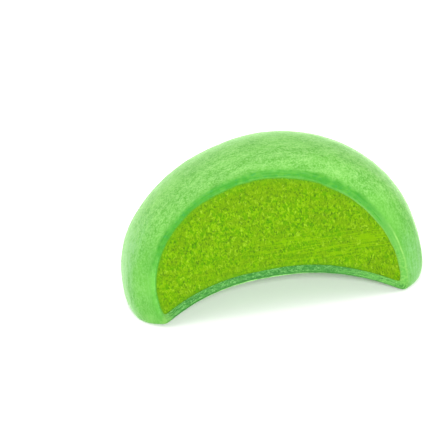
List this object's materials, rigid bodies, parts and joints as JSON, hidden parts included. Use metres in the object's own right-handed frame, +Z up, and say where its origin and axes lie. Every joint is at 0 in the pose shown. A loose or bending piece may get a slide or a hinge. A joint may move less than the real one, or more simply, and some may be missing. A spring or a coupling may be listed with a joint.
{
  "type": "mochi rice cake",
  "caption": "Soft green mochi rice cake, cut open: a rounded dough skin round a grainy green bean paste filling, with a flat cut face.",
  "frame": {"origin": "centre of the bounding box in X and Y, at the flat foot that the piece rests on", "axes": "+Z up from the foot; -Y out of the cut face; X across the width of the cut face"},
  "size_m": [0.05, 0.0324, 0.0262],
  "materials": {
    "skin": "matt green dough, slightly translucent, dusted with starch",
    "filling": "matt, fine-grained green bean paste"
  },
  "bodies": {
    "root": {"skin": "skin", "filling": "filling"}
  },
  "joints": []
}
